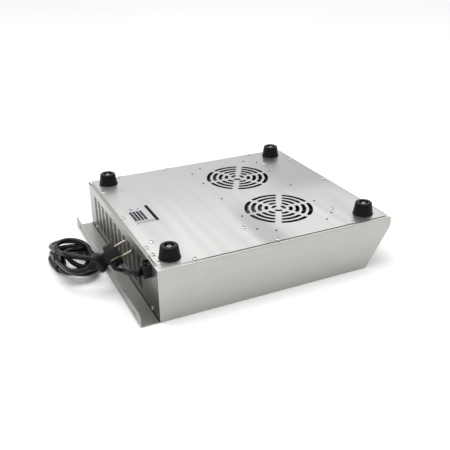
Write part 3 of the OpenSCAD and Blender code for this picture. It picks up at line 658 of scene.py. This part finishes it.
def base_steel():
    """Base plate: painted shade fading across it, a painted dark reflection band, painted shade over the
    front, darker at one corner, and a painted shadow line on its cut edges.
    """
    made = brushed("base_steel", STEEL_TOP, Y, banding=0.85)
    # Painted shade, fading in towards +X
    paint(made, zone(made, X, [(-0.15, 0), (0.16, 1)]), shade(STEEL_TOP, 0.81))
    # A painted dark reflection band across the plate, fading out towards +X
    band = zone(made, Y, [(-0.042, 0), (-0.02, 1), (-0.004, 1), (0.018, 0)], 0.008)
    near = zone(made, X, [(-0.1, 1), (0.0, 0.1)])
    paint(made, combine(made, "MULTIPLY", band, near), shade(STEEL_TOP, 0.74))
    # Painted shade over the front, darkest at a corner towards +X, and more painted shade along the front
    # edge
    front = zone(made, Y, [(-0.21, 1), (-0.13, 0.9), (-0.08, 0)])
    far = zone(made, X, [(-0.07, 0), (0.03, 1), (0.11, 1), (0.17, 0.3)])
    paint(made, combine(made, "MULTIPLY", front, far), shade(STEEL_TOP, 0.68))
    paint(made, zone(made, Y, [(-0.21, 1), (-0.16, 0.5), (-0.1, 0)]), shade(STEEL_TOP, 0.6), 0.3)
    # Painted shadow on the plate's edge faces short of the rear, standing for the shade in the gap beside
    # the folds
    before_fold = remap(made, component(made, "Object", Y), 1, 0, 0.1, 0.15)
    upright = remap(made, component(made, "Normal", Z), 1, 0, 0.3, 0.8)
    paint(made, combine(made, "MULTIPLY", before_fold, upright), (0.04, 0.04, 0.04), 0.9)
    return made


def side_steel():
    """Side panels: painted shade towards the foot, and the folded strip on top painted as bright as the base
    plate, a painted highlight where it faces up.
    """
    made = brushed("side_steel", STEEL_SIDE_LIT, Y, banding=0.1)
    # Painted shade towards the foot, standing for the floor's contact shadow seen in the steel
    tint(made, component(made, "Object", Z), shade(STEEL_SIDE_LIT, 0.8), 0.9, 0.055, 0.005)
    # Painted light: faces that look up take the base plate's brighter tone
    tint(made, component(made, "Normal", Z), STEEL_TOP, 1, 0.6, 0.95)
    return made


def rear_steel():
    """Rear panel: painted shade towards the foot, and punched edges painted near black, partly a duller cut
    edge and partly painted shade inside the slots.
    """
    made = brushed("rear_steel", STEEL_REAR_SHADED, X, banding=0.15)
    # Punched edges below the fold, painted near black: partly a duller cut edge, partly painted shade inside
    # the vent slots
    facing = node(made, "ShaderNodeMath", operation="ABSOLUTE")
    link(made, component(made, "Normal", Y), facing.inputs[0])
    below_fold = remap(made, component(made, "Object", Z), 0, 1, 0.072, 0.07)
    edge = combine(made, "MULTIPLY", remap(made, facing.outputs[0], 1, 0, 0.3, 0.8), below_fold)
    # Painted shade towards the foot
    tint(made, component(made, "Object", Z), shade(STEEL_REAR_SHADED, 0.6), 1, 0.06, 0.02)
    paint(made, edge, (0.02, 0.02, 0.02))
    return made


def flange_steel():
    """Rear flange: painted shade on the lip's outward face, and a thin painted shadow line where it butts
    against the panel.
    """
    made = brushed("flange_steel", STEEL_REAR_SHADED, X, banding=0.15)
    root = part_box("rear_panel")[1].y
    # Painted shade on faces that look towards +Y: the lip's outer face
    tint(made, component(made, "Normal", Y), shade(STEEL_REAR_SHADED, 0.68), 1, 0.5, 0.95)
    tint(made, component(made, "Object", Y), (0.05, 0.05, 0.05), 0.9, root + 2.2 * MM, root + 1.2 * MM)
    return made


SIDE_STEEL = side_steel()
# Nodes whose look differs from that of their slot
NODE_MATERIALS = {
    "side_panel_left": SIDE_STEEL,
    "side_panel_right": SIDE_STEEL,
    "top_frame": SIDE_STEEL,
    "rear_panel": rear_steel(),
    "rear_flange": flange_steel(),
    # Zinc painted darker than the other screws: painted shade for the screws down in each foot's recess
    "foot_screws": metal("foot_screw_zinc_shaded", (0.38, 0.38, 0.38), 0.4),
}
MATERIALS = {
    "base_steel": base_steel(),
    "shell_steel": brushed("shell_steel", STEEL_REAR_SHADED, X, banding=0.15),
    "ceramic_black": glass_ceramic(),
    "silicone_black": rubber("silicone_black", (0.01, 0.01, 0.01), 0.5),
    "label_foil": label_foil(),
    "foot_rubber": foot_rubber(),
    "zinc_screws": metal("zinc_screws", (0.66, 0.66, 0.65), 0.36),
    "earth_zinc": metal("earth_zinc", (0.58, 0.65, 0.62), 0.36),
    "dark_rivet": metal("dark_rivet", (0.08, 0.08, 0.08), 0.45),
    "fan_plastic": plastic("fan_plastic", (0.012, 0.012, 0.013), 0.45),
    "impeller_plastic": plastic("impeller_plastic", (0.02, 0.02, 0.022), 0.38),
    "bronze": metal("bronze", (0.5, 0.34, 0.15), 0.4, grain=2500, height=0.00002),
    "galvanised": galvanised(),
    "turned_aluminium": metal("turned_aluminium", (0.78, 0.78, 0.8), 0.25, 1, (300, 300, 4000)),
    "ferrite": ferrite(),
    "coil_plastic": plastic("coil_plastic", (0.6, 0.54, 0.4), 0.45, grain=600),
    "enamelled_copper": litz_winding(),
    "mica": mica(),
    "sensor_ceramic": plastic("sensor_ceramic", (0.75, 0.74, 0.7), 0.25, coat=0.5),
    "circuit_board": circuit_board(),
    "nylon_white": plastic("nylon_white", (0.72, 0.72, 0.68), 0.45),
    "extruded_aluminium": metal("extruded_aluminium", (0.74, 0.74, 0.76), 0.32, 1, (3000, 40, 3000)),
    "epoxy_black": plastic("epoxy_black", (0.02, 0.02, 0.02), 0.5),
    "film_capacitor": plastic("film_capacitor", (0.03, 0.08, 0.3), 0.3, coat=0.4),
    "wire_pvc": rubber("wire_pvc", (0.03, 0.03, 0.03), 0.4, height=0.000008),
    "overlay_film": plastic("overlay_film", (0.012, 0.012, 0.014), 0.28, grain=2200),
    "lens_red": plastic("lens_red", (0.1, 0.004, 0.004), 0.12, height=0.000002, coat=0.8),
    "machined_steel": metal("machined_steel", (0.62, 0.62, 0.62), 0.28, 1, (400, 400, 3000)),
    "knob_plastic": plastic("knob_plastic", (0.018, 0.018, 0.019), 0.42),
    "button_red": plastic("button_red", (0.42, 0.015, 0.01), 0.3, coat=0.3),
    "button_grey": plastic("button_grey", (0.16, 0.16, 0.17), 0.35, coat=0.2),
    "gland_nylon": rubber("gland_nylon", (0.004, 0.004, 0.004), 0.34),
    "cord_rubber": rubber("cord_rubber", (0.002, 0.002, 0.0022), 0.24, 1500, 0.000005, gloss=0.24),
    "tie_plastic": plastic("tie_plastic", (0.006, 0.006, 0.006), 0.35),
    "plug_rubber": rubber("plug_rubber", (0.006, 0.006, 0.0065), 0.36, grain=1600, height=0.000015),
    "nickel_brass": plated_brass(),
}


def dress_frame():
    """Gives every CAD node its own material, or else that of its slot."""
    for row in frame["record"]["subparts"]:
        made = NODE_MATERIALS.get(row["node"], MATERIALS[row["material_slot"]])
        mesh = frame["nodes"][row["node"]].data
        mesh.materials.clear()
        mesh.materials.append(made)


dress_frame()


def piece(made, slot, *nodes, material=None):
    """Puts a new piece on the housing with its material, that of its slot unless one is given, and hides the
    CAD nodes that it stands for.
    """
    made.data.materials.clear()
    made.data.materials.append(material or MATERIALS[slot])
    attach(made, "housing")
    if nodes:
        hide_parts(*nodes)
    return made


# ---------------------------------------------------------------- feet and screws


def make_foot(corner):
    """A tapered rubber foot with rounded edges, a moulded lip at its root and a screw recess."""
    node_name = f"foot_{corner}"
    low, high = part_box(node_name)
    centre = (low + high) / 2
    bore_r, recess_r, recess_deep, recess_draft = 2 * MM, 7 * MM, 5 * MM, 0.3 * MM
    root_r, tall = (high.x - low.x) / 2, high.z - low.z
    top_r, lip_inset = 0.79 * root_r, 0.6 * MM
    profile = [
        (bore_r, tall - recess_deep), (recess_r - recess_draft, tall - recess_deep), (recess_r, tall),
        (top_r, tall), (root_r - lip_inset, 0.08 * tall), (root_r, 0.04 * tall), (root_r, 0), (bore_r, 0),
    ]
    radii = [0, 0.5 * MM, 0.9 * MM, 2.2 * MM, 0.8 * MM, 0.3 * MM, 0.2 * MM, 0]
    bm = bmesh.new()
    add_lathe(bm, closed(fillet(profile, radii)), Matrix.Translation((centre.x, centre.y, low.z)))
    piece(finish_mesh(f"rubber_foot_{corner}", bm), "foot_rubber", node_name)


for corner in ("rear_left", "rear_right", "front_left", "front_right"):
    make_foot(corner)

# Vertices nearer to each other than this, in plan, belong to one screw
SCREW_REACH = 12 * MM
SCREW_HEAD_R = 4 * MM


def screw_spots(node_name):
    """Middles, in plan, of the separate screws in a node, from its own vertices."""
    spots = []
    for vertex in frame["nodes"][node_name].data.vertices:
        for spot in spots:
            if math.hypot(vertex.co.x - spot[0][0], vertex.co.y - spot[0][1]) < SCREW_REACH:
                spot.append((vertex.co.x, vertex.co.y))
                break
        else:
            spots.append([(vertex.co.x, vertex.co.y)])
    return [
        tuple((min(p[i] for p in spot) + max(p[i] for p in spot)) / 2 for i in (0, 1)) for spot in spots
    ]


def add_screw_head(heads, recess_shades, place_at, head_r, tall):
    """A domed pan head, and the cross recess in it as a mesh of its own: a thin dark cross on the dome,
    painted shade where the recess would be.
    """
    rim, crown = 0.45, 0.55
    dome = [(head_r, 0), (head_r, rim * tall)]
    for i in range(1, 7):
        angle = math.radians(15 * i)
        dome.append((head_r * (crown + rim * math.cos(angle)), tall * (rim + crown * math.sin(angle))))
    head = bmesh.new()
    add_lathe(head, [(0, 0), *dome, (0, tall)], Matrix.Identity(4), steps=32)
    add_part(heads, head, place_at)
    reach, arm = 0.42 * head_r, 0.14 * head_r
    cross = bmesh.new()
    for quarter in (0, 90):
        add_box(cross, (-reach, -arm, tall * 0.97), (reach, arm, tall * 1.02), arm * 0.4,
                Matrix.Rotation(math.radians(quarter), 4, "Z"), segments=1)
    add_part(recess_shades, cross, place_at)


def make_screws(name, node_name, slot):
    """Domed heads, each with a dark cross of painted shade for its cross recess, each turned its own way, in
    place of a node's plain heads.
    """
    seat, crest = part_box("base_plate")[1].z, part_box(node_name)[1].z
    heads, recess_shades = bmesh.new(), bmesh.new()
    turn_step = 0.9
    for i, (x, y) in enumerate(screw_spots(node_name)):
        place_at = Matrix.Translation((x, y, seat)) @ Matrix.Rotation(turn_step * i, 4, "Z")
        add_screw_head(heads, recess_shades, place_at, SCREW_HEAD_R, crest - seat)
    piece(finish_mesh(name, heads), slot, node_name)
    # Dark crosses on the heads: painted shade standing in for each cross recess
    piece(finish_mesh(f"{name}_recesses", recess_shades), "dark_rivet")


make_screws("edge_screw_heads", "perimeter_screws", "zinc_screws")
make_screws("support_screw_heads", "support_screws", "zinc_screws")


def make_flange_screws():
    """Two small domed screws that hold the flange to the foot of the rear panel."""
    low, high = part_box("rear_panel")
    inset, height = 31 * MM, 5.5 * MM
    dome = in_metres([(0, 0), (2.9, 0), (2.9, 0.6), (2.4, 1.3), (1.4, 1.75), (0, 1.9)])
    facing = Matrix.Rotation(math.radians(-90), 4, "X")
    bm = bmesh.new()
    for x in (low.x + inset, high.x - inset):
        add_lathe(bm, dome, Matrix.Translation((x, high.y, height)) @ facing, steps=24)
    piece(finish_mesh("flange_screw_heads", bm), "zinc_screws")


make_flange_screws()

# ---------------------------------------------------------------- rating label print

# Spots of short print as shares of the label's width and depth
LABEL_SPOTS = [(0.82, 0.44), (0.82, 0.5), (0.82, 0.7), (0.85, 0.75), (0.88, 0.8), (0.8, 0.8)]
INK = 0.06 * MM
INK_EDGE = 0.02 * MM
BAR_GAP = 0.35 * MM


def make_label_print():
    """A dark bar, four rows of code-like bars and short dashes, standing for print, with no lettering."""
    low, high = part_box("rating_label")
    width, depth = high.x - low.x, high.y - low.y
    bm = bmesh.new()

    def patch(x0, x1, y0, y1):
        add_box(bm, (x0, y0, high.z - INK), (x1, y1, high.z + INK), INK_EDGE, segments=1)

    def across(share):
        return low.x + share * width

    def up(share):
        return low.y + share * depth

    patch(across(0.03), high.x - 0.03 * width, up(0.02), up(0.16))
    for row in range(4):
        y = up(0.42 + 0.14 * row)
        x = across(0.18)
        while x < across(0.72):
            wide = (1.4 + 1.3 * ((row * 3 + round(x / MM)) % 3)) * MM
            patch(x, x + wide, y, y + 0.105 * depth)
            x += wide + BAR_GAP
    for column in range(9):
        y = up(0.2 + 0.085 * column)
        patch(across(0.06), across(0.1), y, y + 0.055 * depth)
    for x_share, y_share in LABEL_SPOTS:
        patch(across(x_share), across(x_share + 0.045), up(y_share), up(y_share + 0.035))
    ink = rubber("label_ink", (0.006, 0.006, 0.008), 0.6, gloss=0.05)
    piece(finish_mesh("label_print", bm), "overlay_film", material=ink)


make_label_print()

# ---------------------------------------------------------------- cable gland


def make_gland():
    """Clamp gland: rounded flange, ribbed clamp block, screw boss with its recess, and the angled outlet."""
    low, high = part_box("cable_gland")
    half_flange = 12.5
    x, y, z = low.x + half_flange * MM, low.y, (low.z + high.z) / 2
    bm = bmesh.new()

    def block(corner, opposite, bevel, segments=3):
        """A rounded box between two corners, in millimetres from the flange's middle."""
        ends = [(x + a * MM, y + b * MM, z + c * MM) for a, b, c in (corner, opposite)]
        add_box(bm, *ends, bevel * MM, segments=segments)

    block((-half_flange, 0, -half_flange), (half_flange, 2.5, half_flange), 0.8)
    block((-9.5, 2, -11), (9.5, 16, 8), 1.4)
    rib_x, rib_half = 9.3, (0.7, 0.8)
    for side in (-1, 1):
        for level in (-7, -2.5, 2):
            block((side * rib_x - rib_half[0], 4, level - rib_half[1]),
                  (side * rib_x + rib_half[0], 14, level + rib_half[1]), 0.5, segments=2)
    boss = fillet(in_metres([(1, 7), (4.2, 7), (4.2, 12), (6, 12), (6, 0), (1, 0)]),
                  [0, 0.3 * MM, 0.5 * MM, 0.8 * MM, 0, 0])
    add_lathe(bm, closed(boss), Matrix.Translation((x, y + 9 * MM, z)), steps=40)
    collar = fillet(in_metres([(4.02, -4), (6.4, -4), (6, 4), (4.6, 6.6), (4.02, 6.6)]),
                    [0, 0.5 * MM, 0.8 * MM, 0.4 * MM, 0])
    outlet_turn = Euler((math.radians(-90), 0, math.radians(-40)))
    outlet = Matrix.Translation(CORD_ROUTE[0]) @ outlet_turn.to_matrix().to_4x4()
    add_lathe(bm, closed(collar), outlet, steps=40)
    piece(finish_mesh("clamp_gland", bm), "gland_nylon", "cable_gland")


make_gland()

RELIEF_ROOT_R = 5.3 * MM
RELIEF_TAPER = 0.95 * MM
RELIEF_RIBS = 7
RELIEF_GROOVE = 0.35 * MM


def make_strain_relief():
    """A ribbed rubber sleeve that tapers along the cord's first centimetres."""
    path = smooth_path(CORD_ROUTE[:4], 14)
    distances = [0.0]
    for before, point in zip(path, path[1:]):
        distances.append(distances[-1] + (point - before).length)
    shares = [distance / distances[-1] for distance in distances]
    radii = [
        RELIEF_ROOT_R - RELIEF_TAPER * share - RELIEF_GROOVE * math.sin(math.pi * RELIEF_RIBS * share) ** 8
        for share in shares
    ]
    bm = bmesh.new()
    add_sleeve(bm, path, radii)
    return piece(finish_mesh("strain_relief", bm, 50), "cord_rubber")


strain_relief = make_strain_relief()

# ---------------------------------------------------------------- plug

# part.scad's plug_at and plug_turn: +Z runs out along the pins, X from pin to pin
PLUG_PLACE = (
    Matrix.Translation((-0.070, 0.2035, 0.064))
    @ Euler([math.radians(a) for a in (-9, 64, -112)], "XYZ").to_matrix().to_4x4()
)
PLUG_R = 18.5 * MM
COLLAR = 15 * MM
PIN_X = 9.5 * MM
PIN_R = 2.4 * MM
PIN_ROOT = 7 * MM
PIN_LENGTH = 19 * MM
# Sections of the finger grip behind the collar: half width, half depth, height in mm, and squareness
GRIP_SECTIONS = [
    (13.2, 8.2, -14.0, 3.2), (11.4, 5.6, -16.0, 3.4), (10.4, 4.8, -18.5, 3.6), (10.6, 5.0, -22.0, 3.8),
    (12.4, 7.0, -25.5, 4.4), (14.2, 9.0, -28.2, 5.0), (14.9, 9.8, -31.0, 5.4), (14.8, 9.6, -34.4, 5.4),
    (13.6, 8.6, -35.8, 5.0), (9.0, 7.0, -36.6, 3.0),
]


def notched_circle(radius, half_width, depth, steps=72):
    """A circle with a square notch cut in at +Y and -Y."""
    edge = math.asin(half_width / radius)
    outline = []
    for side in (1, -1):
        first, last = -math.pi / 2 + edge, math.pi / 2 - edge
        for i in range(steps // 2):
            angle = first + (last - first) * i / (steps // 2 - 1)
            outline.append((side * radius * math.cos(angle), side * radius * math.sin(angle)))
        outline.append((side * half_width, side * (radius - depth)))
        outline.append((-side * half_width, side * (radius - depth)))
    return outline


def boot_profile():
    """Ribbed cable boot behind the grip, as a closed profile in millimetres."""
    profile = [(7.6, -35.6), (7.4, -38.0)]
    for rib in range(4):
        r, z = 7.1 - 0.55 * rib, -38.6 - 2.3 * rib
        profile += [(r - 0.9, z), (r - 0.9, z - 0.7), (r, z - 1.0), (r - 0.1, z - 2.1)]
    return closed(profile + [(4.9, -48.2), (4.1, -48.4), (4.1, -40.0)])


def make_plug():
    """Moulded earthed plug: notched collar, a raised ring round each pin, waisted grip and ribbed boot."""
    bm = bmesh.new()
    add_prism(bm, notched_circle(PLUG_R, 4.5 * MM, 3.5 * MM), -COLLAR, 0, 0.9 * MM, PLUG_PLACE)
    pin_ring = closed(in_metres([(2.5, -0.2), (4.2, -0.2), (4.0, 0.35), (2.9, 0.35)]))
    for side in (-1, 1):
        add_lathe(bm, pin_ring, PLUG_PLACE @ Matrix.Translation((side * PIN_X, 0, 0)), steps=32)
    rings = []
    for half_width, half_depth, z, power in GRIP_SECTIONS:
        section = superellipse(half_width * MM, half_depth * MM, z * MM, power)
        rings.append(add_ring(bm, [PLUG_PLACE @ p for p in section]))
    add_skin(bm, rings)
    add_lathe(bm, in_metres(boot_profile()), PLUG_PLACE, steps=36)
    return piece(finish_mesh("moulded_plug", bm, 40), "plug_rubber", "plug_body")


moulded_plug = make_plug()


def make_pins():
    """Two round pins with domed tips."""
    bm = bmesh.new()
    profile = [(0, -PIN_ROOT), (PIN_R, -PIN_ROOT)]
    tip_tall = 0.7 * PIN_R
    for angle in map(math.radians, range(0, 90, 15)):
        profile.append((PIN_R * math.cos(angle), PIN_LENGTH - tip_tall * (1 - math.sin(angle))))
    profile.append((0, PIN_LENGTH))
    for side in (-1, 1):
        add_lathe(bm, profile, PLUG_PLACE @ Matrix.Translation((side * PIN_X, 0, 0)), steps=32)
    return piece(finish_mesh("round_pins", bm), "nickel_brass", "plug_pins")


round_pins = make_pins()

# ---------------------------------------------------------------- wire tie

TIE_MIDDLE = (0.018, 0.2745, 0.0215)
TIE_HALF_Y = 8.5 * MM
TIE_HALF_Z = 18.5 * MM
TIE_WIRE_D = 1.8 * MM
TIE_PITCH = 2.2 * MM
TIE_WAVE = 0.6 * MM
TIE_SQUARENESS = 0.7


def make_tie():
    """Coated wire wound twice round the near strands of the hank."""
    steps_per_turn = 14
    x, y, z = TIE_MIDDLE
    points = []
    for i in range(2 * steps_per_turn + 2):
        turns = i / steps_per_turn
        angle = math.tau * turns - 0.5
        points.append(Vector((
            x + TIE_PITCH * turns + TIE_WAVE * math.sin(3 * angle),
            y + TIE_HALF_Y * signed_power(math.cos(angle), TIE_SQUARENESS),
            z + TIE_HALF_Z * signed_power(math.sin(angle), TIE_SQUARENESS),
        )))
    return piece(bezier_cord("wire_tie", points, TIE_WIRE_D), "tie_plastic", "cord_tie")


wire_tie = make_tie()

piece(mains_cord, "cord_rubber", "power_cord", "cord_hank", "plug_lead")

# ---------------------------------------------------------------- floor, sky and light

FLOOR_R = 30
FLOOR_BELOW = 0.4 * MM
# Height on the world's ramp (0 at the horizon and below, 1 overhead), and brightness
SKY_STOPS = [(0.2, 0.7), (0.32, 0.85), (0.42, 1.08), (0.6, 1.12), (0.75, 0.9)]
SKY_HORIZON = 0.7
SKY_TOP = 0.75
SKY_STRENGTH = 1.07


def make_floor():
    """A plain pale floor, a hair below the glass."""
    bm = bmesh.new()
    bmesh.ops.create_circle(bm, cap_ends=True, radius=FLOOR_R, segments=64)
    floor = finish_mesh("floor", bm)
    floor.location.z = -FLOOR_BELOW
    paper = surface("floor_paper", (0.93, 0.93, 0.93), 0.8)
    roughen(paper, noise(paper, 3), 0.75, 0.9)
    floor.data.materials.append(paper)


def make_sky():
    """A white room: brightest half way up, dimmer towards the horizon and overhead."""
    world = bpy.data.worlds.new("studio")
    bpy.context.scene.world = world
    world.use_nodes = True
    tree = world.node_tree
    background = tree.nodes["Background"]
    coordinates = tree.nodes.new("ShaderNodeTexCoord")
    split = tree.nodes.new("ShaderNodeSeparateXYZ")
    ramp = tree.nodes.new("ShaderNodeValToRGB")
    tree.links.new(coordinates.outputs["Generated"], split.inputs[0])
    tree.links.new(split.outputs["Z"], ramp.inputs["Fac"])
    tree.links.new(ramp.outputs["Color"], background.inputs["Color"])
    stops = ramp.color_ramp.elements
    stops[0].color = (SKY_HORIZON, SKY_HORIZON, SKY_HORIZON, 1)
    stops[1].color = (SKY_TOP, SKY_TOP, SKY_TOP, 1)
    for position, value in SKY_STOPS:
        stops.new(position).color = (value, value, value, 1)
    background.inputs["Strength"].default_value = SKY_STRENGTH


def make_softbox(at, size, power):
    """A square soft light that faces the middle of the scene."""
    light = bpy.data.objects.new("key", bpy.data.lights.new("key", "AREA"))
    light.data.shape = "RECTANGLE"
    light.data.size = light.data.size_y = size
    light.data.energy = power
    light.location = at
    light.rotation_mode = "QUATERNION"
    light.rotation_quaternion = (-Vector(at)).to_track_quat("-Z", "Y")
    bpy.context.scene.collection.objects.link(light)


make_floor()
make_sky()
make_softbox(at=(0.2, 0.4, 2.2), size=1.5, power=26)
bpy.context.scene.view_settings.view_transform = "Standard"
